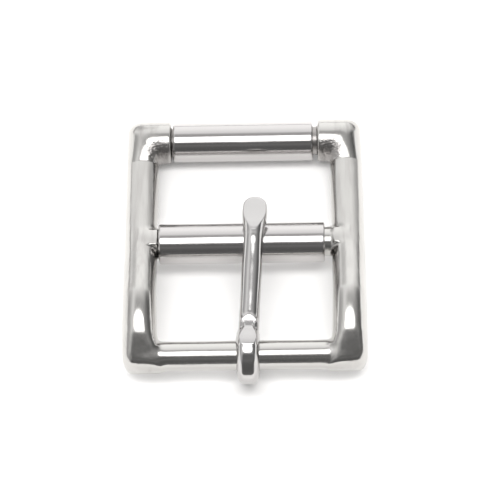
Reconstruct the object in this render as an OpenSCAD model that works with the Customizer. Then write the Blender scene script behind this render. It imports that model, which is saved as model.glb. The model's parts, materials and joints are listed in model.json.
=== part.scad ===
// Girth buckle: a cast frame, a roller on its end pin, a roller on its centre bar, and a hinged tongue.
// It lies as it rests on a flat surface, on its two rear shoulders and on the eye of its tongue.
// X runs across the strap, +Y from the front bar to the end pin, +Z up. The origin is in the middle, on the surface.

/* [Frame] */
// Clear width between the side bars
inner_w = 26; // [24:0.5:30]
// Width of one side bar, seen from above
side_w = 4.8; // [4.2:0.1:6]
// Thickness of a side bar at the nose
side_t = 5.4; // [5:0.1:5.6]
// Thickness of a side bar beside the rear shoulder
rear_t = 4.5; // [4.2:0.1:5]
// Distance from the front bar's axis to the centre bar's
front_span = 18.1; // [17:0.1:20]
// Distance from the centre bar's axis to the end pin's
rear_span = 17.6; // [16:0.1:20]
// Height of the centre bar's axis above the surface
centre_z = 4.4; // [4.2:0.1:4.6]
// Radius of the frame's outer corners, seen from above
corner_r = 1.9; // [1:0.1:2.4]
// Radius of the corners of the windows, seen from above
fillet_r = 0.8; // [0.4:0.1:1.2]
// Rise of the side bars towards the front, in degrees
rise = 5.5; // [4:0.5:6]
// Radius of the upward bow of the side bars, from the centre bar to the front
bow_r = 58; // [50:2:100]
// Length of the nose, where a side bar curves down to the front bar
nose_len = 9.1; // [8.8:0.1:9.6]
// Radius of that curve
nose_r = 9; // [8.8:0.1:10]

/* [Cross bars] */
// Diameter of the front bar, the centre bar and the end pin
bar_d = 4.3; // [3.8:0.1:4.5]
// Diameter of a rear shoulder, which holds one end of the end pin
shoulder_d = 6.4; // [6.2:0.1:6.8]
// Distance that a shoulder reaches in from the side bar's inner face
shoulder_reach = 1.9; // [1.4:0.1:2]

/* [Rollers] */
// Outer diameter of both rollers
roller_d = 6; // [5.8:0.1:6]
// Clearance all round between a roller and its pin or bar
roller_gap = 0.3; // [0.2:0.05:0.35]
// Length of the end roller
end_roller_len = 21.2; // [20:0.2:21.4]
// Distance that the end roller lies to the left of the middle
end_roller_left = 0.2; // [0:0.05:0.3]
// Length of the centre roller
centre_roller_len = 24.6; // [22:0.2:24.8]
// Distance that the centre roller lies to the left of the middle
centre_roller_left = 0.4; // [0:0.05:0.4]
// Bevel on a roller's outer ends
roller_bevel = 0.25; // [0.1:0.05:0.4]

/* [Tongue] */
// Outer diameter of the eye
eye_d = 8.4; // [8:0.1:8.8]
// Width of the eye
eye_w = 3.2; // [2.8:0.05:3.6]
// Clearance all round between the eye and the front bar
eye_gap = 0.25; // [0.15:0.05:0.3]
// Lean of the tongue to the right as it lies, in degrees
lean = 3.2; // [0:0.1:3.5]
// Distance that the eye's middle lies to the right of the buckle's
tongue_right = 0.35; // [0:0.05:0.5]
// Thickness of the shank over the centre roller
shank_t = 2.5; // [2.1:0.1:2.8]
// Clearance between the lying tongue and the centre roller
rest_gap = 0.1; // [0.05:0.05:0.2]

/* [Hidden] */

$fn = 48;

half_in = inner_w / 2;
half_out = half_in + side_w;
bar_r = bar_d / 2;
shoulder_r = shoulder_d / 2;
eye_r = eye_d / 2;
roller_r = roller_d / 2;

// The eye stands on the surface, so the front bar's axis is as high as the eye's radius.
front_z = eye_r;
pin_z = shoulder_r;

// The centre roller hangs on its bar, and the end roller lies on the surface, each with next to no gap.
rest_slack = 0.05;
centre_roller_z = centre_z + rest_slack - roller_gap;
end_roller_z = roller_r + rest_slack;

// The eye's front and the shoulders' backs are equally far from the origin.
front_y = (eye_r - shoulder_r - front_span - rear_span) / 2;
centre_y = front_y + front_span;
pin_y = centre_y + rear_span;

// Places on a side bar are measured back from the front bar's axis.
pin_back = front_span + rear_span;

// Distance between the last two ribs of a shoulder
inset = 0.12;
// Points round each section of a loft
ring_points = 28;
// Squareness of a section: 2 is an ellipse, more is a flatter top with rounder edges
side_power = 2.1;
round_power = 2.1;
nose_power = 2.9;
// Distance over which the squareness changes behind the nose's end
nose_blend = 8;
// Steps round a rear corner of the frame
corner_steps = 9;
// Turn of the front corner from one rib to the next, in degrees
nose_step = 7.5;
// Distance that the nose stands out before the front bar's axis, and above and below it
nose_out = 2.2;
nose_high = 3.3;
// Length along the nose's curve after which it runs straight
nose_bend = 8;
// Distance that the nose widens inwards at the front bar, the distance back where it starts, and its length
nose_flare = 0.8;
flare_back = 2.4;
flare_len = 1.8;
// Small fillet where the centre bar meets a side bar
root_len = 0.3;
root_grow = 0.5;
// Distance that each cross bar reaches into a side bar
bite = 1;

function mix(a, b, t) = a + (b - a) * t;
function ease(t) = let (c = min(max(t, 0), 1)) c * c * (3 - 2 * c);
function signed_power(v, p) = sign(v) * pow(abs(v), p);

// Height of the middle of a side bar at a distance back from the front bar's axis
function side_mid(back) =
    let (ahead = front_span - back, curve = max(nose_len - back, 0))
    centre_z + ahead * tan(rise)
    + pow(max(ahead, 0), 2) / (2 * bow_r)
    - (pow(curve, 2) - pow(max(curve - nose_bend, 0), 2)) / (2 * nose_r);

// Half the thickness of a side bar, which changes over its middle half
function side_half(back) = mix(side_t, rear_t, ease(2 * back / pin_back - 0.5)) / 2;

// Inner end of a side bar's section
function side_inner(back) =
    [half_in - nose_flare * ease((flare_back - back) / flare_len), back];

// Squareness of a side bar's section
function squareness(back) = mix(nose_power, side_power, ease((back + nose_out) / nose_blend));

// A rib is one upright section of a frame side: its inner and outer end seen from above, half its height, its
// squareness, and the level of its middle, held at one height by a share from 0 to 1.
function rib(inner, outer, half, power, level, share) =
    [inner, outer, half, power, level, share];

function rib_ring(r) = [
    for (i = [0 : ring_points - 1])
        let (
            a = 360 * i / ring_points,
            p = mix(r[0], r[1], (1 - signed_power(cos(a), 2 / r[3])) / 2),
            mid = mix(side_mid(p.y), r[4], r[5])
        )
        [p.x, p.y, mid + r[2] * signed_power(sin(a), 2 / r[3])]
];

// Distance from c along the unit vector d to the outside of a corner: x = edge.x, y = edge.y, both positive
// directions, rounded by corner_r.
function reach(c, d, edge) =
    let (
        o = edge - [corner_r, corner_r],
        tx = d.x > 0.001 ? (edge.x - c.x) / d.x : 1000,
        ty = d.y > 0.001 ? (edge.y - c.y) / d.y : 1000,
        m = c - o,
        b = m * d,
        arc = -b + sqrt(max(b * b - m * m + corner_r * corner_r, 0))
    )
    c.y + tx * d.y < o.y ? tx : c.x + ty * d.x < o.x ? ty : arc;

shoulder_ribs = [
    for (x = [half_in - shoulder_reach, half_in - fillet_r - inset])
        rib(
            [x, pin_back - shoulder_r], [x, pin_back + shoulder_r],
            shoulder_r, round_power, pin_z, 1
        )
];

// The rear corner turns round the window's corner, from the shoulder to the side bar, and drops like a slope
// towards the front.
rear_corner_ribs = [
    for (a = [0 : 90 / corner_steps : 90])
        let (
            w = 1 - cos(a),
            d = [sin(a), cos(a)],
            c = [half_in - fillet_r, pin_back - shoulder_r - fillet_r],
            far = reach(c, d, [half_out, pin_back + shoulder_r])
        )
        rib(
            c + fillet_r * d, c + far * d,
            mix(shoulder_r, rear_t / 2, w), mix(round_power, side_power, w), pin_z, 1 - w
        )
];

// Distances back of the ribs along the straight part and the nose
side_backs = [29, 24, 21, 18, 15, 12.5, 10.6, 9.4, 8.5, 7.6, 6.7, 5.8, 4.9, 4, 3.2, 2.5, 1.9, 1.4, 0.9, 0.4];

side_ribs = [
    for (back = side_backs)
        rib(side_inner(back), [half_out, back], side_half(back), squareness(back), 0, 0)
];

// The nose's end follows the outer corner's radius, seen from above, and the front bar's roundness, seen from the
// side.
nose_ribs = [
    for (a = [0 : nose_step : 90 - nose_step])
        let (
            back = corner_r * (1 - sin(a)) - nose_out,
            round_half = nose_high * sqrt(1 - pow(min(back, 0) / nose_out, 2)),
            top = min(side_mid(back) + side_half(back), front_z + round_half),
            low = max(side_mid(back) - side_half(back), front_z - round_half)
        )
        rib(
            side_inner(back), [half_out - corner_r * (1 - cos(a)), back],
            (top - low) / 2, squareness(back), (top + low) / 2, 1
        )
];

// Closed solid through a list of rings that have the same number of points
module loft(rings) {
    n = len(rings[0]);
    last = (len(rings) - 1) * n;
    sides = [
        for (k = [0 : len(rings) - 2], i = [0 : n - 1])
            let (a = k * n + i, b = k * n + (i + 1) % n)
            each [[a, b, b + n], [a, b + n, a + n]]
    ];
    caps = [
        [for (i = [n - 1 : -1 : 0]) i],
        [for (i = [0 : n - 1]) last + i]
    ];
    polyhedron(points = [for (r = rings) each r], faces = concat(sides, caps));
}

module bar_along_x(r, x0, x1) {
    translate([x0, 0, 0])
        rotate([0, 90, 0])
            cylinder(r = r, h = x1 - x0);
}

// Short cone where a cross bar meets the right side bar
module bar_root() {
    translate([half_in - root_len, 0, 0])
        rotate([0, 90, 0])
            cylinder(r1 = bar_r, r2 = bar_r + root_grow, h = root_len + bite);
}

module frame_side() {
    translate([0, front_y, 0])
        loft([
            for (r = concat(shoulder_ribs, rear_corner_ribs, side_ribs, nose_ribs))
                rib_ring(r)
        ]);
}

module frame() {
    color("silver")
        union() {
            frame_side();
            mirror([1, 0, 0])
                frame_side();
            translate([0, front_y, front_z])
                bar_along_x(bar_r, -half_in - bite, half_in + bite);
            translate([0, centre_y, centre_z]) {
                bar_along_x(bar_r, -half_in - bite, half_in + bite);
                bar_root();
                mirror([1, 0, 0])
                    bar_root();
            }
            translate([0, pin_y, pin_z])
                bar_along_x(bar_r, -half_in - bite, half_in + bite);
        }
}

module roller(length) {
    bore_r = bar_r + roller_gap;
    half = length / 2;
    rotate([0, 90, 0])
        rotate_extrude()
            polygon([
                [bore_r, -half],
                [roller_r - roller_bevel, -half],
                [roller_r, roller_bevel - half],
                [roller_r, half - roller_bevel],
                [roller_r - roller_bevel, half],
                [bore_r, half]
            ]);
}

module end_roller() {
    color("gainsboro")
        translate([-end_roller_left, pin_y, end_roller_z])
            roller(end_roller_len);
}

module centre_roller() {
    color("gainsboro")
        translate([-centre_roller_left, centre_y, centre_roller_z])
            roller(centre_roller_len);
}

// Heights on the tongue are measured from the front bar's axis. The shank clears the centre roller.
shank_low = centre_roller_z + roller_r + rest_gap - front_z;
shank_high = shank_low + shank_t;

// Sections of the tongue, from the eye to the tip
BACK = 0;
HALF_W = 1;
LOW = 2;
HIGH = 3;
CROWN = 4;
tongue_rows = [
    // back, half width, underside, top, half width of the flat crown
    [0.1, 1.50, 2.50, eye_r + 0.16, 1.10],
    [0.8, 1.60, 2.30, eye_r + 0.10, 1.20],
    [1.6, 1.62, 2.15, eye_r + 0.00, 1.16],
    [2.3, 1.58, 1.95, eye_r - 0.08, 0.92],
    [3.0, 1.50, 1.75, eye_r - 0.18, 0.66],
    [3.4, 1.46, 1.68, eye_r - 0.24, 0.62],
    [3.8, 1.50, 1.68, eye_r - 0.26, 0.80],
    [4.4, 1.52, 1.74, eye_r - 0.20, 0.70],
    [5.4, 1.50, 1.82, eye_r - 0.10, 0.20],
    [6.5, 1.48, shank_low - 1.13, shank_high - 1.32, 0.20],
    [8.0, 1.49, shank_low - 0.99, shank_high - 1.13, 0.20],
    [10.0, 1.49, shank_low - 0.76, shank_high - 0.92, 0.20],
    [12.5, 1.50, shank_low - 0.50, shank_high - 0.64, 0.20],
    [15.6, 1.43, shank_low - 0.12, shank_high - 0.24, 0.20],
    [17.2, 1.47, shank_low, shank_high, 0.25],
    [18.0, 1.52, shank_low + 0.01, shank_high - 0.01, 0.40],
    [18.8, 1.62, shank_low + 0.02, shank_high - 0.13, 0.90],
    [19.8, 1.82, shank_low, shank_high - 0.33, 1.42],
    [21.0, 1.97, shank_low - 0.06, shank_high - 0.55, 1.66],
    [22.0, 1.90, shank_low - 0.08, shank_high - 0.72, 1.58],
    [22.8, 1.60, shank_low - 0.07, shank_high - 0.85, 1.26],
    [23.3, 1.15, shank_low + 0.03, shank_high - 0.96, 0.80],
    [23.6, 0.50, shank_low + 0.25, shank_high - 1.15, 0.30]
];

// Share of a section's height at which it is widest
belly = 0.42;
// Half section of the crown side, as shares of the way from the widest point to the crown's edge
crown_shape = [[0, 0], [0.12, 0.30], [0.36, 0.60], [0.68, 0.84], [1, 1]];
// Steps of the round underside, in degrees
under_steps = [for (a = [15 : 15 : 165]) a];

function tongue_ring(r) =
    let (
        mid = mix(r[LOW], r[HIGH], belly),
        crown = [
            for (c = crown_shape)
                [mix(r[HALF_W], r[CROWN], c[0]), mix(mid, r[HIGH], c[1])]
        ],
        under = [
            for (a = under_steps)
                [-r[HALF_W] * cos(a), mid - (mid - r[LOW]) * sin(a)]
        ],
        right = [for (p = crown) [p[0], r[BACK], p[1]]],
        left = [for (i = [len(crown) - 1 : -1 : 0]) [-crown[i][0], r[BACK], crown[i][1]]],
        below = [for (p = under) [p[0], r[BACK], p[1]]]
    )
    concat(right, left, below);

// Half section of the eye's ring: a dome outside, cut square by the bore
DEPTH = 0;
SET_IN = 1;
eye_dome = [
    // depth below the crown, distance in from the flat face
    [1.65, 0.00],
    [0.77, 0.12],
    [0.33, 0.35],
    [0.08, 0.85],
    [0.00, 1.30]
];

module eye_ring() {
    rising = [for (d = eye_dome) [eye_r - d[DEPTH], d[SET_IN] - eye_w / 2]];
    falling = [for (i = [len(rising) - 1 : -1 : 0]) [rising[i].x, -rising[i].y]];
    rotate([0, 90, 0])
        rotate_extrude()
            polygon(concat([[bar_r, -eye_w / 2]], rising, falling, [[bar_r, eye_w / 2]]));
}

module tongue() {
    color("whitesmoke")
        translate([tongue_right, front_y, front_z])
            difference() {
                rotate([0, 0, -lean])
                    union() {
                        eye_ring();
                        loft([for (r = tongue_rows) tongue_ring(r)]);
                    }
                bar_along_x(bar_r + eye_gap, -eye_w, eye_w);
            }
}

frame();
end_roller();
centre_roller();
tongue();
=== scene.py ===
"""A polished roller girth buckle, lying on a pale floor under a soft studio light."""
import math

import bpy
import numpy as np
from mathutils import Matrix, Vector
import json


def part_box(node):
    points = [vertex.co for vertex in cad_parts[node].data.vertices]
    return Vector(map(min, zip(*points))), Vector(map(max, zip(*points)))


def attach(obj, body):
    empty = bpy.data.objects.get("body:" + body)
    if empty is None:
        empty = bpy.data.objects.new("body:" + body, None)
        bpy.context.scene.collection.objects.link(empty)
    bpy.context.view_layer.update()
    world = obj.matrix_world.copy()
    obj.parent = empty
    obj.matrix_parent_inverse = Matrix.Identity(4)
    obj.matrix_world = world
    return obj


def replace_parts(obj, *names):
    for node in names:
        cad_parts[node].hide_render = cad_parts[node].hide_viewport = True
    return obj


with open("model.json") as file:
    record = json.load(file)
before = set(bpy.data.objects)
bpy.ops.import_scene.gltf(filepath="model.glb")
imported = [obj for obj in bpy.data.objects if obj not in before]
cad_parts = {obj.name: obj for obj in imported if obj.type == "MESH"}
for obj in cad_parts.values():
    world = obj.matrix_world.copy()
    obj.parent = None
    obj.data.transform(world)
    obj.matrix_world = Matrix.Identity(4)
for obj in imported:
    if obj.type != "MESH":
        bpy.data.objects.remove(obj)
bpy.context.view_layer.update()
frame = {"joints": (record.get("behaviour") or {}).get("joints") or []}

MM = 0.001

# Axes of the front bar and of the two rollers, from the joints
HINGES = {j["name"]: np.array(j["pos_m"]) for j in frame["joints"]}
FRONT = HINGES["tongue_hinge"]
CENTRE = HINGES["centre_roller_spin"]
PIN = HINGES["end_roller_spin"]
# The rollers hang a little below the axes of their own bars
CENTRE_BAR = CENTRE + (0, 0, 0.25 * MM)
END_PIN = PIN + (0, 0, 0.15 * MM)

# Sizes of the frame. POWER in a name is a superellipse's, and EDGE is how far an edge is rounded.
HALF_IN = 13 * MM
HALF_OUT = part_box("frame")[1][0]
SIDE_HALF = 2.7 * MM
REAR_HALF = 2.25 * MM
SIDE_POWER = 2.1
BAR_R = 2.15 * MM
SHOULDER_R = END_PIN[2]
SHOULDER_REACH = 1.9 * MM
SHOULDER_EDGE = 0.35 * MM
CORNER_R = 1.9 * MM
FILLET_R = 0.8 * MM
BAR_FILLETS = ((FRONT, 0.7 * MM), (CENTRE_BAR, 0.8 * MM), (END_PIN, 0.2 * MM))

# The noses, which are the frame's rounded front corners
NOSE_OUT = 2.2 * MM
NOSE_HIGH = 3.8 * MM
NOSE_POWER = 2.9
NOSE_BLEND = 6 * MM
NOSE_EDGE = 0.4 * MM

# The centre bar's roots. Their height is a share of the side bar's half height.
ROOT_HALF = 1.25 * MM
ROOT_LEFT = 12.87 * MM
ROOT_RIGHT = 13.3 * MM
ROOT_DEPTH = 1.4 * MM
ROOT_HEIGHT = 0.9
ROOT_TOP_EDGE = 0.3 * MM
ROOT_SIDE_EDGE = 0.25 * MM
ROOT_UNDER_EDGE = 0.5 * MM
ROOT_FILLET = 0.3 * MM

# The rollers. Their rings lie closer to the edges, which keeps the shading of the flats even.
ROLLER_GAP = 0.3 * MM
ROLLER_EDGE = 0.3 * MM
ROLLER_EDGE_STEPS = 6
ROLLER_FACE_RING = 1.3 * ROLLER_EDGE
ROLLER_RINGS = (0.02, 0.1, 0.3, 0.6, 1.0)
BORE_CHAMFER = (0.02 * MM, 0.05 * MM)
# The least room that the frame leaves at the centre roller's ends and in its bore
CENTRE_ROLLER = [np.array(c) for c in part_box("centre_roller")]
END_ROOM = 0.12 * MM
BORE_ROOM = 0.04 * MM
ROOM_EDGE = 0.05 * MM

# Rough skin of the casting in each rear corner. It lies out from the middle and forward of the end
# pin by CAST_AT. PITCH and DEPTH are those of its dents.
CAST_AT = np.array([12.9, 2.6]) * MM
CAST_REACH = np.array([2.4, 1.9]) * MM
CAST_FADE = 2.2
CAST_PITCH = 1.0 * MM
CAST_DEPTH = 0.022 * MM
CAST_ROUGHNESS = 0.14
# Grey of the casting skin in the corners and streaks, also used as painted shade on the end pin
CAST_SKIN_AND_SHADE_COLOUR = (0.36, 0.345, 0.335)
# The end pin gets it too, nearer the middle than the first number and further back than the second.
# There the grey is painted shade in the gaps beside the end roller.
PIN_GAP_SHADE = (11 * MM, 10 * MM)

# Reach of a side bar's inner edge over the window, as (back from the front bar, reach) in mm
SIDE_FLARE = [(-3, 0.8), (0.4, 0.8), (1.9, 0.4), (3, 0.3), (9, 0.14), (14, 0.06), (18, 0), (40, 0)]

# Slope of a side bar's top, as (mm back from the front bar, degrees that it falls to the front)
SIDE_SLOPES = [
    (-3, 27), (0.6, 27.5), (1.7, 26.5), (2.5, 19.5), (5.7, 5.2), (8.2, -3), (9.3, -14), (14, -13),
    (18.1, -8), (21, -5.5),
]
# Where the slopes are added up, in mm back from the front bar
SLOPE_STEPS = np.linspace(-4, 40, 881)

# Sizes of the tongue's eye
EYE_R = FRONT[2]
EYE_HALF_W = 1.68 * MM
EYE_FLAT = 1.0 * MM
EYE_GAP = 0.25 * MM
EYE_POWER = 3
EYE_BEVEL_EDGE = 0.25 * MM
EYE_FILLET = 0.3 * MM
EYE_BORE_EDGE = 0.15 * MM

# The eye's swell beyond its round, as (degrees from the top towards the front, swell in mm)
EYE_SWELL = [
    (-180, 0), (-50, 0), (-20, 0.15), (0, 0.2), (17.6, 0.134), (30, 0.065), (42, 0.05), (53, 0.1),
    (65, 0.216), (78, 0.27), (86, 0.265), (100, 0.107), (114, -0.15), (130, -0.2), (150, -0.08),
    (180, 0),
]

# Sections of the tongue, with heights above the front bar's axis. The facet is a flat cut into a
# round top.
TONGUE_X = 0.45 * MM
LEAN = math.radians(3.2)
TONGUE_ROWS = np.array([
    # back, half width, underside, top, facet's half width, lift of the round top over the facet
    [0.0, 1.50, 2.30, 4.36, 0.95, 0.0],
    [0.6, 1.60, 2.30, 4.34, 1.15, 0.0],
    [1.2, 1.62, 2.20, 4.27, 1.24, 0.0],
    [1.8, 1.60, 2.00, 4.17, 1.10, 0.0],
    [2.5, 1.54, 1.80, 4.03, 0.80, 0.0],
    [3.1, 1.50, 1.70, 3.92, 0.55, 0.0],
    [3.5, 1.50, 1.70, 3.93, 0.90, 0.0],
    [3.9, 1.51, 1.72, 3.96, 1.10, 0.0],
    [4.5, 1.51, 1.78, 4.04, 0.70, 0.05],
    [5.5, 1.49, 1.86, 4.15, 0.12, 0.2],
    [6.5, 1.48, 1.92, 4.25, 0.10, 0.3],
    [8.0, 1.49, 2.06, 4.42, 0.10, 0.3],
    [9.5, 1.49, 2.23, 4.58, 0.10, 0.3],
    [12.5, 1.50, 2.55, 4.91, 0.10, 0.3],
    [14.0, 1.46, 2.74, 5.08, 0.10, 0.3],
    [15.6, 1.43, 2.93, 5.31, 0.10, 0.3],
    [17.2, 1.47, 3.05, 5.55, 0.10, 0.2],
    [18.0, 1.52, 3.06, 5.54, 0.40, 0.0],
    [18.8, 1.62, 3.07, 5.42, 0.90, 0.0],
    [19.8, 1.82, 3.05, 5.22, 1.42, 0.0],
    [21.0, 1.97, 2.99, 5.00, 1.66, 0.0],
    [22.3, 1.97, 2.97, 4.78, 1.66, 0.0],
    [23.7, 1.97, 3.00, 4.54, 1.60, 0.0],
]) * MM
# Where a section is widest, as a share of its height
WIDEST_AT = 0.42
FACET_EDGE = 0.08 * MM
TIP_WIDE = 21.0 * MM
TIP_END = 23.6 * MM
TIP_HALF = 1.97 * MM
TIP_POWER = 2.2
TIP_EDGE = 0.3 * MM
SHANK_END_EDGE = 0.2 * MM
# A hollow on either side pinches the waist. Its place and reach are (across, back, up).
WAIST_AT = np.array([1.5, 3.1, 4.15]) * MM
WAIST_REACH = np.array([0.9, 0.9, 0.7]) * MM
WAIST_EDGE = 0.1 * MM

# Mesh fineness
FRAME_STEP = 0.2 * MM
TONGUE_STEP = 0.09 * MM
LATHE_SIDES = 160
# In each round a vertex goes this share of the way to the middle of its neighbours
RELAX_ROUNDS = 2
RELAX_SHARE = 0.6

# Finish of the steels. A grain is the stretch of the polishing marks along X, Y and Z, and a SCALE
# is a noise's. The smears take the roughness from one share of its set value to another.
ALONG_Y = (1, 0.05, 1)
ALONG_X = (0.05, 1, 1)
MARK_SCALE = 2600
SMEAR_SCALE = 260
SMEAR_NOISE = (0.3, 0.75)
SMEAR_SHARES = (0.8, 1.3)
# Grey streaks of the casting on the side bars, which come in over 1 mm from STREAKS_FROM, in mm
STREAK_SCALE = 900
STREAK_GAIN, STREAK_BASE = 1.7, -0.82
STREAKS_FROM = 12.5

# Camera, worked out from the photograph's perspective
CAMERA_ELEVATION = math.radians(64.64)
CAMERA_AZIMUTH = math.radians(2.74)
CAMERA_ROLL = math.radians(-3.33)
CAMERA_DISTANCE = 0.336
CAMERA_LENS = 163.1
CAMERA_SENSOR = 36
CAMERA_CLIP = (0.01, 10)
CAMERA_AIM = Vector((0.81, -0.57, 4.5)) * MM

# The floor
FLOOR_SIZE = 6
FLOOR_COLOUR = (0.82, 0.812, 0.803)
FLOOR_ROUGHNESS = 0.9
FLOOR_GLOW = 0.13

# Brightness of the surroundings, as (angle in degrees, radiance). The middle is read along the arc
# from the front horizon over the top to the back horizon.
MIDDLE_ARC = [
    (0, 0.3), (2, 0.17), (20, 0.12), (34, 0.14), (45, 0.2), (54, 0.14), (58, 0.15), (72, 0.3),
    (96, 0.4), (112, 0.5), (119, 1.0), (132, 1.15), (150, 1.35), (172, 1.4), (178, 0.68),
    (180, 0.62),
]
# The same by height above the horizon, towards the front and the back on either side
LEFT_FRONT = [(0, 1.4), (8, 1.2), (14, 0.45), (25, 0.5), (36, 0.65), (50, 1.0), (90, 1.0)]
LEFT_BACK = [(0, 0.3), (6, 0.4), (11, 1.15), (90, 1.15)]
RIGHT_FRONT = [(0, 1.5), (9, 1.4), (13, 0.12), (30, 0.15), (50, 0.35), (70, 0.6), (90, 0.9)]
RIGHT_BACK = [(0, 0.15), (8, 0.2), (13, 0.75), (36, 0.85), (60, 1.05), (90, 1.1)]
WORLD_STRENGTH = 1.2
# Blends between them, as a gain and a base on a direction's X or Y, cut to 0 and 1. The sides come
# in with the distance from MIDDLE_X, and later towards the front.
MIDDLE_X = 0.06
SIDE_GAIN, SIDE_BASE = 2.6, -0.6
SIDE_GAIN_AHEAD = 1.3
RIGHT_GAIN, RIGHT_BASE = 4.0, 0.5
BACK_GAIN, BACK_BASE = 4.4, -1.75
# A round grey panel stands at the back on the left
PANEL_AT = Vector((-0.42, 0.84, 0.34)).normalized()
PANEL_GAIN, PANEL_BASE = 12.0, -11.3
PANEL_LEVEL = 0.4


def mix(a, b, t):
    return a + (b - a) * t


def ease(t):
    t = np.clip(t, 0, 1)
    return t * t * (3 - 2 * t)


def smooth_min(a, b, k):
    h = np.clip(0.5 + 0.5 * (b - a) / k, 0, 1)
    return mix(b, a, h) - k * h * (1 - h)


def smooth_max(a, b, k):
    return -smooth_min(-a, -b, k)


def smooth_curve(x, xs, ys):
    """A smooth line through the points (xs, ys), read at x. It doesn't overshoot between them."""
    xs, ys = np.asarray(xs, float), np.asarray(ys, float)
    gap = np.diff(xs)
    slope = np.diff(ys) / gap
    before, after = slope[:-1], slope[1:]
    inner = np.where(before * after > 0, 2 * before * after / (before + after + 1e-30), 0)
    m = np.concatenate([[slope[0]], inner, [slope[-1]]])
    i = np.clip(np.searchsorted(xs, x) - 1, 0, len(gap) - 1)
    h = gap[i]
    t = np.clip((x - xs[i]) / h, 0, 1)
    return (
        ys[i] * (1 + 2 * t) * (1 - t) ** 2
        + ys[i + 1] * t * t * (3 - 2 * t)
        + h * m[i] * t * (1 - t) ** 2
        - h * m[i + 1] * t * t * (1 - t)
    )


def oval(a, b, power):
    """1 on a superellipse, and less inside. a and b are coordinates over its half sizes."""
    return (np.abs(a) ** power + np.abs(b) ** power + 1e-12) ** (1 / power)


def field_slope(field, points, reach):
    """The field's gradient at each point, from differences over reach."""
    out = np.empty_like(points)
    for axis in range(3):
        step = np.zeros(3)
        step[axis] = reach
        out[:, axis] = (field(points + step) - field(points - step)) / (2 * reach)
    return out


def pull_to_surface(field, points, reach, rounds):
    """Moves points along the gradient onto the field's zero surface."""
    for _ in range(rounds):
        slope = field_slope(field, points, reach)
        size = np.maximum(np.einsum("ij,ij->i", slope, slope), 1e-6)
        move = -(field(points) / size)[:, None] * slope
        far = np.linalg.norm(move, axis=1, keepdims=True)
        points = points + move * np.minimum(1, 4 * reach / np.maximum(far, 1e-12))
    return points


def add_to_scene(name, data):
    thing = bpy.data.objects.new(name, data)
    bpy.context.scene.collection.objects.link(thing)
    return thing


def skin(name, field, low, high, step):
    """A smooth closed mesh over the field's zero surface, one vertex for each cell it crosses."""
    counts = np.ceil((high - low) / step).astype(int) + 1
    axes = [low[i] + step * np.arange(counts[i]) for i in range(3)]
    values = np.empty(tuple(counts))
    plane = np.stack(np.meshgrid(axes[1], axes[2], indexing="ij"), -1).reshape(-1, 2)
    for i, x in enumerate(axes[0]):
        points = np.column_stack([np.full(len(plane), x), plane])
        values[i] = field(points).reshape(counts[1], counts[2])

    # Each grid edge that crosses the surface gives a face between the four cells round it
    inside = values < 0
    cells = counts - 1
    total = np.zeros((cells.prod(), 3))
    hits = np.zeros(cells.prod(), int)
    quads = []
    for axis in range(3):
        near = [slice(None)] * 3
        away = [slice(None)] * 3
        near[axis] = slice(0, -1)
        away[axis] = slice(1, None)
        crossed = inside[tuple(near)] != inside[tuple(away)]
        at = np.argwhere(crossed)
        v0 = values[tuple(near)][crossed]
        v1 = values[tuple(away)][crossed]
        place = low + at * step
        place[:, axis] += step * v0 / (v0 - v1)
        b, c = (axis + 1) % 3, (axis + 2) % 3
        corners = []
        for db, dc in ((0, 0), (-1, 0), (-1, -1), (0, -1)):
            cell = at.copy()
            cell[:, b] += db
            cell[:, c] += dc
            flat = (cell[:, 0] * cells[1] + cell[:, 1]) * cells[2] + cell[:, 2]
            np.add.at(total, flat, place)
            np.add.at(hits, flat, 1)
            corners.append(flat)
        quad = np.column_stack(corners)
        flip = v0 > v1
        quad[flip] = quad[flip][:, ::-1]
        quads.append(quad)

    used = np.flatnonzero(hits)
    number = np.full(len(hits), -1)
    number[used] = np.arange(len(used))
    points = total[used] / hits[used][:, None]
    quads = number[np.concatenate(quads)]

    # The vertices are evened out along the surface
    reach = 0.1 * step
    points = pull_to_surface(field, points, reach, 3)
    for _ in range(RELAX_ROUNDS):
        centre = points[quads].mean(1)
        summed = np.zeros_like(points)
        share = np.zeros(len(points))
        for k in range(4):
            np.add.at(summed, quads[:, k], centre)
            np.add.at(share, quads[:, k], 1)
        points = mix(points, summed / share[:, None], RELAX_SHARE)
        points = pull_to_surface(field, points, reach, 2)
    points = pull_to_surface(field, points, reach, 2)
    normals = field_slope(field, points, reach)
    normals /= np.maximum(np.linalg.norm(normals, axis=1, keepdims=True), 1e-12)

    mesh = bpy.data.meshes.new(name)
    mesh.from_pydata(points.tolist(), [], quads.tolist())
    mesh.shade_smooth()
    mesh.normals_split_custom_set_from_vertices(normals.tolist())
    return add_to_scene(name, mesh)


def side_mid(back):
    """Height of the middle of a side bar, at a distance back from the front bar's axis."""
    slopes = smooth_curve(SLOPE_STEPS, *zip(*SIDE_SLOPES))
    rise = np.cumsum(np.tan(np.radians(slopes))) * (SLOPE_STEPS[1] - SLOPE_STEPS[0])
    middle = (CENTRE_BAR[1] - FRONT[1]) / MM
    above = np.interp(back / MM, SLOPE_STEPS, rise) - np.interp(middle, SLOPE_STEPS, rise)
    return CENTRE_BAR[2] + above * MM


def corner_reach(turn, corner_x, corner_y, edge_x, edge_y):
    """Distance from a window's corner to the outside, in the direction turn from +Y towards +X."""
    dx, dy = np.sin(turn), np.cos(turn)
    ox, oy = edge_x - CORNER_R, edge_y - CORNER_R
    tx = (edge_x - corner_x) / np.maximum(dx, 1e-3)
    ty = (edge_y - corner_y) / np.maximum(dy, 1e-3)
    mx, my = corner_x - ox, corner_y - oy
    along = mx * dx + my * dy
    arc = -along + np.sqrt(np.maximum(along**2 - mx**2 - my**2 + CORNER_R**2, 0))
    return np.where(corner_y + tx * dy < oy, tx, np.where(corner_x + ty * dx < ox, ty, arc))


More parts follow.
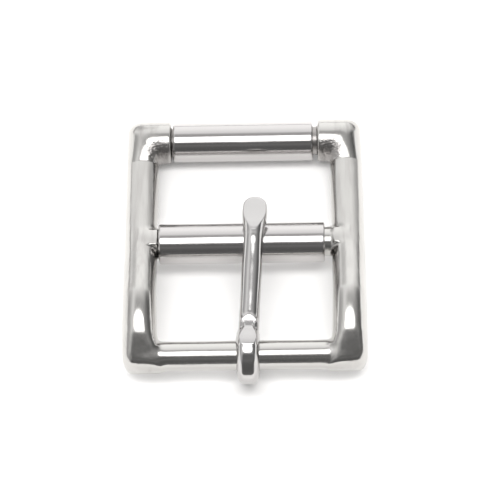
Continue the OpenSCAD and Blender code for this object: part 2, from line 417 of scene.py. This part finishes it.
def side_field(x, back, z, root_in):
    """Field of the right side bar with its rear corner, nose and root, which starts at root_in."""
    pin_back = END_PIN[1] - FRONT[1]
    corner_x = HALF_IN - FILLET_R
    corner_y = pin_back - SHOULDER_R - FILLET_R

    # The section turns round the window's rear corner
    h = np.maximum(x - corner_x, 0)
    v = np.maximum(back - corner_y, 0)
    turn = np.arctan2(np.maximum(h, 1e-9), v)
    reach = corner_reach(turn, corner_x, corner_y, HALF_OUT, pin_back + SHOULDER_R)

    # The bar widens inwards towards the front bar, and its outer corner is round
    flare = smooth_curve(back / MM, *zip(*SIDE_FLARE)) * MM
    past = np.clip(-back - (NOSE_OUT - CORNER_R), 0, CORNER_R)
    half_w = (reach - CORNER_R + np.sqrt(CORNER_R**2 - past**2) - FILLET_R) / 2
    radial = np.where(v > 0, np.hypot(h, v), x - corner_x)
    from_crest = radial - FILLET_R - half_w
    across = from_crest / np.where(from_crest < 0, half_w + flare, half_w)

    # Round the corner it changes from the shoulder's height and round section to the side bar's,
    # which gets thinner from a quarter to three quarters of the way back
    w = 1 - np.cos(turn)
    side_half = mix(SIDE_HALF, REAR_HALF, ease(2 * back / pin_back - 0.5))
    half = mix(SHOULDER_R, side_half, w)
    side_power = mix(NOSE_POWER, SIDE_POWER, ease((back + NOSE_OUT) / NOSE_BLEND))
    power = mix(2, side_power, w)
    level = mix(END_PIN[2], side_mid(back), w)
    body = (oval(across, (z - level) / half, power) - 1) * np.minimum(half_w, half)
    body = smooth_max(body, HALF_IN - SHOULDER_REACH - x, SHOULDER_EDGE)

    # A square root for the centre bar fills the side bar's rounding up to the roller's end
    from_bar = np.abs(back - CENTRE_BAR[1] + FRONT[1]) - ROOT_HALF
    root = smooth_max(z - level - ROOT_HEIGHT * half, root_in - x, ROOT_TOP_EDGE)
    root = smooth_max(root, from_bar, ROOT_SIDE_EDGE)
    root = smooth_max(root, level - half / 2 - z, ROOT_UNDER_EDGE)
    body = smooth_min(body, np.maximum(root, x - HALF_IN - ROOT_DEPTH), ROOT_FILLET)

    # The nose is cut to an upright oval round the front bar, and nothing is cut further back
    ahead = np.maximum(-back, 0)
    profile = (oval(ahead / NOSE_OUT, (z - FRONT[2]) / NOSE_HIGH, 2) - 1) * NOSE_OUT
    return smooth_max(body, profile - 3 * np.maximum(back, 0), NOSE_EDGE)


def cast_skin(points):
    """Unpolished dents of the casting, in the hollow of each rear corner, as a height."""
    x, y, z = (points / CAST_PITCH).T
    # Crossed waves whose lengths have no common measure
    dents = (
        np.sin(6.3 * x + 2.1 * np.sin(4.7 * y + 1.3 * z))
        * np.sin(5.6 * y + 2.4 * np.sin(3.9 * z + 2.2 * x))
        + 0.6 * np.sin(11.3 * y + 8.7 * x + 2.0 * z) * np.sin(10.1 * z - 7.9 * x + 4.1 * y)
    )
    away = np.hypot(
        (np.abs(points[:, 0]) - CAST_AT[0]) / CAST_REACH[0],
        (points[:, 1] - END_PIN[1] + CAST_AT[1]) / CAST_REACH[1],
    )
    return CAST_DEPTH * ease(CAST_FADE * (1 - away)) * dents


def roller_room(points):
    """Field of the centre roller's own ring and the room round it, which the frame stays out of."""
    low, high = CENTRE_ROLLER
    r = np.hypot(points[:, 1] - CENTRE[1], points[:, 2] - CENTRE[2])
    past_end = np.maximum(low[0] - points[:, 0], points[:, 0] - high[0])
    in_bore = BAR_R + ROLLER_GAP - BORE_ROOM - r
    return np.maximum(np.maximum(r - (high[2] - low[2]) / 2, past_end) - END_ROOM, in_bore)


def frame_field(points):
    x = np.abs(points[:, 0])
    y, z = points[:, 1], points[:, 2]
    out = side_field(x, y - FRONT[1], z, np.where(points[:, 0] < 0, ROOT_LEFT, ROOT_RIGHT))
    for axis, fillet in BAR_FILLETS:
        tube = np.hypot(y - axis[1], z - axis[2]) - BAR_R
        out = smooth_min(out, np.maximum(tube, x - HALF_IN - BAR_R), fillet)
    return smooth_max(out - cast_skin(points), -roller_room(points), ROOM_EDGE)


def tongue_field(points):
    # In the tongue's own frame: across, back along it, and up from the front bar's axis
    dx, dy = points[:, 0] - TONGUE_X, points[:, 1] - FRONT[1]
    across = np.abs(dx * math.cos(LEAN) - dy * math.sin(LEAN))
    back = dx * math.sin(LEAN) + dy * math.cos(LEAN)
    up = points[:, 2] - FRONT[2]

    half_w, low, top, facet, lift = (
        smooth_curve(back, TONGUE_ROWS[:, 0], TONGUE_ROWS[:, i]) for i in range(1, 6)
    )
    mid = mix(low, top, WIDEST_AT)
    dome = (top - mid) / np.sqrt(1 - (facet / half_w) ** 2)
    height = np.where(up > mid, dome, mid - low)
    shank = (oval(across / half_w, (up - mid) / height, 2) - 1) * np.minimum(half_w, height)
    shank = smooth_max(shank, up - top - lift, FACET_EDGE)
    out_x, out_y, out_z = (
        (place - at) / reach
        for place, at, reach in zip((across, back, up), WAIST_AT, WAIST_REACH)
    )
    hollow = (oval(oval(out_x, out_y, 2), out_z, 2) - 1) * WAIST_REACH[2]
    shank = smooth_max(shank, -hollow, WAIST_EDGE)
    past = np.maximum(back - TIP_WIDE, 0) / (TIP_END - TIP_WIDE)
    outline = (oval(across / TIP_HALF, past, TIP_POWER) - 1) * TIP_HALF
    shank = smooth_max(shank, np.where(back > TIP_WIDE, outline, across - TIP_HALF), TIP_EDGE)
    shank = smooth_max(shank, -back, SHANK_END_EDGE)

    # The eye is a ring with a slightly domed rim and wide bevels, and its crest meets the shank
    r = np.hypot(dy, up)
    outer = EYE_R + smooth_curve(np.degrees(np.arctan2(-dy, up)), *zip(*EYE_SWELL)) * MM
    wall = np.maximum(r - BAR_R, 0) / (outer - BAR_R)
    ring = (oval(dx / EYE_HALF_W, wall, EYE_POWER) - 1) * EYE_HALF_W
    ring = smooth_max(ring, (np.abs(dx) + r - EYE_FLAT - outer) / math.sqrt(2), EYE_BEVEL_EDGE)
    out = smooth_min(ring, shank, EYE_FILLET)
    return smooth_max(out, BAR_R + EYE_GAP - r, EYE_BORE_EDGE)


def lathe(name, node, profile):
    """A ring round a node's own X axis. The profile is a loop of (x from the middle, radius)."""
    low, high = (np.array(c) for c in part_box(node))
    middle = (low + high) / 2
    n = len(profile)
    points, faces = [], []
    for k in range(LATHE_SIDES):
        a = 2 * math.pi * k / LATHE_SIDES
        for x, r in profile:
            points.append((middle[0] + x, middle[1] + r * math.cos(a), middle[2] + r * math.sin(a)))
        for i in range(n):
            j, after = (i + 1) % n, (k + 1) % LATHE_SIDES
            faces.append((k * n + i, after * n + i, after * n + j, k * n + j))
    mesh = bpy.data.meshes.new(name)
    mesh.from_pydata(points, [], faces)
    mesh.shade_smooth()
    return add_to_scene(name, mesh)


def roller_profile(node):
    """Half section of a rolled tube, with rounded outer edges and square inner edges."""
    low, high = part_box(node)
    half, outer = (high[0] - low[0]) / 2, (high[2] - low[2]) / 2
    inner, edge = BAR_R + ROLLER_GAP, ROLLER_EDGE
    right = [
        (half - BORE_CHAMFER[0], inner),
        (half, inner + BORE_CHAMFER[1]),
        (half, outer - ROLLER_FACE_RING),
    ]
    for k in range(ROLLER_EDGE_STEPS + 1):
        a = math.pi / 2 * k / ROLLER_EDGE_STEPS
        right.append((half - edge + edge * math.cos(a), outer - edge + edge * math.sin(a)))
    flat = [(half - edge - t * (half - edge), outer) for t in ROLLER_RINGS]
    left = [(-x, r) for x, r in reversed(right + flat[:-1])]
    return right + flat + left


def new_material(name):
    material = bpy.data.materials.new(name)
    material.use_nodes = True
    nodes, links = material.node_tree.nodes, material.node_tree.links
    shader = nodes["Principled BSDF"]
    return material, nodes, links, shader


def math_maker(nodes, links):
    """Returns a function that adds a Math node and gives its output. Values may be sockets."""
    def math_node(kind, *values):
        node = nodes.new("ShaderNodeMath")
        node.operation = kind
        for socket, value in zip(node.inputs, values):
            if isinstance(value, (int, float)):
                socket.default_value = value
            else:
                links.new(value, socket)
        return node.outputs[0]
    return math_node


def noise_maker(nodes, links):
    """Returns a function that adds a Noise Texture and gives its grey output."""
    def noise(scale, detail, vector):
        node = nodes.new("ShaderNodeTexNoise")
        node.inputs["Scale"].default_value = scale
        node.inputs["Detail"].default_value = detail
        links.new(vector, node.inputs["Vector"])
        return node.outputs["Fac"]
    return noise


def stretched(nodes, links, place, grain):
    node = nodes.new("ShaderNodeMapping")
    node.inputs["Scale"].default_value = grain
    links.new(place, node.inputs["Vector"])
    return node.outputs["Vector"]


def polished_steel(name, colour, roughness, grain, grain_height, wave_scale, wave_height):
    """Polished steel with slow waves, polishing marks and smears. Heights are in metres."""
    material, nodes, links, shader = new_material(name)
    noise = noise_maker(nodes, links)
    shader.inputs["Base Color"].default_value = (*colour, 1)
    shader.inputs["Metallic"].default_value = 1.0
    place = nodes.new("ShaderNodeTexCoord").outputs["Object"]

    def bump(height, distance, below=None):
        node = nodes.new("ShaderNodeBump")
        node.inputs["Strength"].default_value = 1.0
        node.inputs["Distance"].default_value = distance
        links.new(height, node.inputs["Height"])
        if below is not None:
            links.new(below, node.inputs["Normal"])
        return node.outputs["Normal"]

    rough = nodes.new("ShaderNodeMapRange")
    rough.inputs["From Min"].default_value, rough.inputs["From Max"].default_value = SMEAR_NOISE
    rough.inputs["To Min"].default_value = SMEAR_SHARES[0] * roughness
    rough.inputs["To Max"].default_value = SMEAR_SHARES[1] * roughness
    links.new(noise(SMEAR_SCALE, 4, place), rough.inputs["Value"])
    links.new(rough.outputs["Result"], shader.inputs["Roughness"])

    waves = bump(noise(wave_scale, 1, place), wave_height)
    marks = bump(noise(MARK_SCALE, 3, stretched(nodes, links, place, grain)), grain_height, waves)
    links.new(marks, shader.inputs["Normal"])
    return material


def leave_cast_skin_and_gap_shade(material):
    """Makes the frame's steel dull and grey where it isn't polished, in the rear corners, and dull
    with a grey of painted shade on the end pin, in the gaps beside the end roller. The side bars
    have soft streaks of the same grey."""
    nodes, links = material.node_tree.nodes, material.node_tree.links
    shader = nodes["Principled BSDF"]
    math_node, noise = math_maker(nodes, links), noise_maker(nodes, links)

    place = nodes.new("ShaderNodeTexCoord").outputs["Object"]
    parts = nodes.new("ShaderNodeSeparateXYZ")
    links.new(place, parts.inputs["Vector"])
    x = math_node("ABSOLUTE", parts.outputs["X"])
    y = parts.outputs["Y"]
    corner_x, corner_y = float(CAST_AT[0]), float(END_PIN[1] - CAST_AT[1])
    by_x = math_node("DIVIDE", math_node("SUBTRACT", x, corner_x), float(CAST_REACH[0]))
    by_y = math_node("DIVIDE", math_node("SUBTRACT", y, corner_y), float(CAST_REACH[1]))
    squares = (math_node("MULTIPLY", by_x, by_x), math_node("MULTIPLY", by_y, by_y))
    away = math_node("SQRT", math_node("ADD", *squares))
    corner = math_node("MULTIPLY_ADD", away, -CAST_FADE, CAST_FADE)
    # On the end pin the grey is painted shade in the gaps beside the end roller
    near, behind = math_node("LESS_THAN", x, PIN_GAP_SHADE[0]), math_node("GREATER_THAN", y, PIN_GAP_SHADE[1])
    pin = math_node("MULTIPLY", near, behind)
    marks = noise(STREAK_SCALE, 3, stretched(nodes, links, place, ALONG_Y))
    streaks = math_node("MULTIPLY_ADD", marks, STREAK_GAIN, STREAK_BASE)
    side = math_node("MULTIPLY_ADD", x, 1 / MM, -STREAKS_FROM)
    for socket in (corner, pin, streaks, side):
        socket.node.use_clamp = True
    streaks = math_node("MULTIPLY", streaks, side)
    skin_and_shade_share = math_node("MAXIMUM", math_node("MAXIMUM", corner, pin), streaks)

    smooth = shader.inputs["Roughness"].links[0].from_socket
    rough = math_node("MULTIPLY_ADD", skin_and_shade_share, CAST_ROUGHNESS, smooth)
    links.new(rough, shader.inputs["Roughness"])
    grey = nodes.new("ShaderNodeMixRGB")
    links.new(skin_and_shade_share, grey.inputs["Fac"])
    grey.inputs["Color1"].default_value = shader.inputs["Base Color"].default_value
    grey.inputs["Color2"].default_value = (*CAST_SKIN_AND_SHADE_COLOUR, 1)
    links.new(grey.outputs["Color"], shader.inputs["Base Color"])
    return material


def make_stage():
    bpy.ops.mesh.primitive_plane_add(size=FLOOR_SIZE, location=(0, 0, 0))
    floor = bpy.context.object
    floor.name = "floor"
    material, _, _, shader = new_material("pale_paper")
    shader.inputs["Base Color"].default_value = (*FLOOR_COLOUR, 1)
    shader.inputs["Roughness"].default_value = FLOOR_ROUGHNESS
    shader.inputs["Specular IOR Level"].default_value = 0.0
    shader.inputs["Emission Color"].default_value = (1, 1, 1, 1)
    shader.inputs["Emission Strength"].default_value = FLOOR_GLOW
    floor.data.materials.append(material)


def make_world():
    """Soft surroundings: dim in front and low on the right, pale at the back and on the left."""
    world = bpy.data.worlds.new("studio")
    bpy.context.scene.world = world
    world.use_nodes = True
    nodes, links = world.node_tree.nodes, world.node_tree.links
    math_node = math_maker(nodes, links)

    def read_levels(stops, place, top=90):
        """The grey level at a place from 0 to 1, which stands for an angle from 0 to top."""
        ramp = nodes.new("ShaderNodeValToRGB")
        elements = ramp.color_ramp.elements
        elements[0].position, elements[-1].position = stops[0][0] / top, stops[-1][0] / top
        for angle, _ in stops[1:-1]:
            elements.new(angle / top)
        for element, (_, level) in zip(elements, stops):
            element.color = (level, level, level, 1)
        links.new(place, ramp.inputs["Fac"])
        return ramp.outputs["Color"]

    def blend(share, a, b):
        node = nodes.new("ShaderNodeMixRGB")
        links.new(share, node.inputs["Fac"])
        links.new(a, node.inputs["Color1"])
        if isinstance(b, float):
            node.inputs["Color2"].default_value = (b, b, b, 1)
        else:
            links.new(b, node.inputs["Color2"])
        return node.outputs["Color"]

    direction = nodes.new("ShaderNodeTexCoord").outputs["Generated"]
    parts = nodes.new("ShaderNodeSeparateXYZ")
    links.new(direction, parts.inputs["Vector"])
    x, y, z = (parts.outputs[k] for k in "XYZ")
    over = math_node("DIVIDE", math_node("ARCTAN2", z, math_node("MULTIPLY", y, -1)), math.pi)
    height = math_node("DIVIDE", math_node("ARCSINE", z), math.pi / 2)
    ahead = math_node("MULTIPLY_ADD", math_node("MINIMUM", y, 0), SIDE_GAIN_AHEAD, SIDE_BASE)
    off_middle = math_node("ABSOLUTE", math_node("SUBTRACT", x, MIDDLE_X))
    sideways = math_node("MULTIPLY_ADD", off_middle, SIDE_GAIN, ahead)
    to_right = math_node("MULTIPLY_ADD", x, RIGHT_GAIN, RIGHT_BASE)
    to_back = math_node("MULTIPLY_ADD", y, BACK_GAIN, BACK_BASE)
    for socket in (sideways, to_right, to_back):
        socket.node.use_clamp = True

    left = blend(to_back, read_levels(LEFT_FRONT, height), read_levels(LEFT_BACK, height))
    right = blend(to_back, read_levels(RIGHT_FRONT, height), read_levels(RIGHT_BACK, height))
    sides = blend(to_right, left, right)
    whole = blend(sideways, read_levels(MIDDLE_ARC, over, top=180), sides)

    towards = nodes.new("ShaderNodeVectorMath")
    towards.operation = "DOT_PRODUCT"
    towards.inputs[1].default_value = PANEL_AT
    links.new(direction, towards.inputs[0])
    panel = math_node("MULTIPLY_ADD", towards.outputs["Value"], PANEL_GAIN, PANEL_BASE)
    panel.node.use_clamp = True
    links.new(blend(panel, whole, PANEL_LEVEL), nodes["Background"].inputs["Color"])
    nodes["Background"].inputs["Strength"].default_value = WORLD_STRENGTH


def make_softbox(name, centre, size, level, mirrored):
    """An oval light that faces the origin, with the given radiance. The steel mirrors it or not."""
    light = bpy.data.lights.new(name, "AREA")
    light.shape = "ELLIPSE"
    light.size, light.size_y = size
    light.energy = level * math.pi * size[0] * size[1] * math.pi / 4
    lamp = add_to_scene(name, light)
    lamp.location = centre
    lamp.visible_camera = False
    lamp.visible_glossy = mirrored
    lamp.rotation_euler = (-Vector(centre)).to_track_quat("-Z", "Y").to_euler()


def make_camera():
    data = bpy.data.cameras.new("camera")
    data.lens = CAMERA_LENS
    data.sensor_width = CAMERA_SENSOR
    data.clip_start, data.clip_end = CAMERA_CLIP
    back = Vector((
        math.sin(CAMERA_AZIMUTH) * math.cos(CAMERA_ELEVATION),
        -math.cos(CAMERA_AZIMUTH) * math.cos(CAMERA_ELEVATION),
        math.sin(CAMERA_ELEVATION),
    ))
    level = Vector((math.cos(CAMERA_AZIMUTH), math.sin(CAMERA_AZIMUTH), 0))
    upright = back.cross(level)
    right = level * math.cos(CAMERA_ROLL) + upright * math.sin(CAMERA_ROLL)
    up = back.cross(right)
    turn = Matrix((right, up, back)).transposed()
    camera = add_to_scene("camera", data)
    camera.matrix_world = Matrix.Translation(CAMERA_AIM + back * CAMERA_DISTANCE) @ turn.to_4x4()
    bpy.context.scene.camera = camera


def make_frame(steel):
    low, high = (np.array(c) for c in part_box("frame"))
    margin = 3 * FRAME_STEP
    piece = skin("buckle_frame", frame_field, low - margin, high + margin, FRAME_STEP)
    piece.data.materials.append(steel)
    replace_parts(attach(piece, "frame"), "frame")


def make_tongue(steel):
    low, high = (np.array(c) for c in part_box("tongue"))
    margin = 4 * TONGUE_STEP
    piece = skin("buckle_tongue", tongue_field, low - margin, high + margin, TONGUE_STEP)
    piece.data.materials.append(steel)
    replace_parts(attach(piece, "tongue"), "tongue")


def make_roller(node, steel):
    piece = lathe("buckle_" + node, node, roller_profile(node))
    piece.data.materials.append(steel)
    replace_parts(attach(piece, node), node)


bpy.context.scene.view_settings.view_transform = "Standard"
make_camera()
make_stage()
make_world()
# The steel mirrors the overhead light alone. The other two light the floor, the last from the back.
make_softbox("overhead", (0, -0.0335, 0.3), size=(0.32, 0.168), level=3.1, mirrored=True)
make_softbox("key", (0, -0.005, 0.35), size=(0.5, 0.1), level=4.7, mirrored=False)
make_softbox("back_fill", (0, 0.34, 0.16), size=(0.5, 0.1), level=13.0, mirrored=False)

cast_steel = polished_steel(
    "cast_steel", (0.53, 0.52, 0.503), roughness=0.165,
    grain=ALONG_Y, grain_height=16e-6, wave_scale=180, wave_height=60e-6,
)
make_frame(leave_cast_skin_and_gap_shade(cast_steel))
forged_steel = polished_steel(
    "forged_steel", (0.51, 0.5, 0.495), roughness=0.15,
    grain=ALONG_Y, grain_height=4e-6, wave_scale=300, wave_height=40e-6,
)
make_tongue(forged_steel)
for node in ("end_roller", "centre_roller"):
    tube_steel = polished_steel(
        node + "_steel", (0.53, 0.515, 0.51), roughness=0.14,
        grain=ALONG_X, grain_height=2e-6, wave_scale=150, wave_height=20e-6,
    )
    make_roller(node, tube_steel)
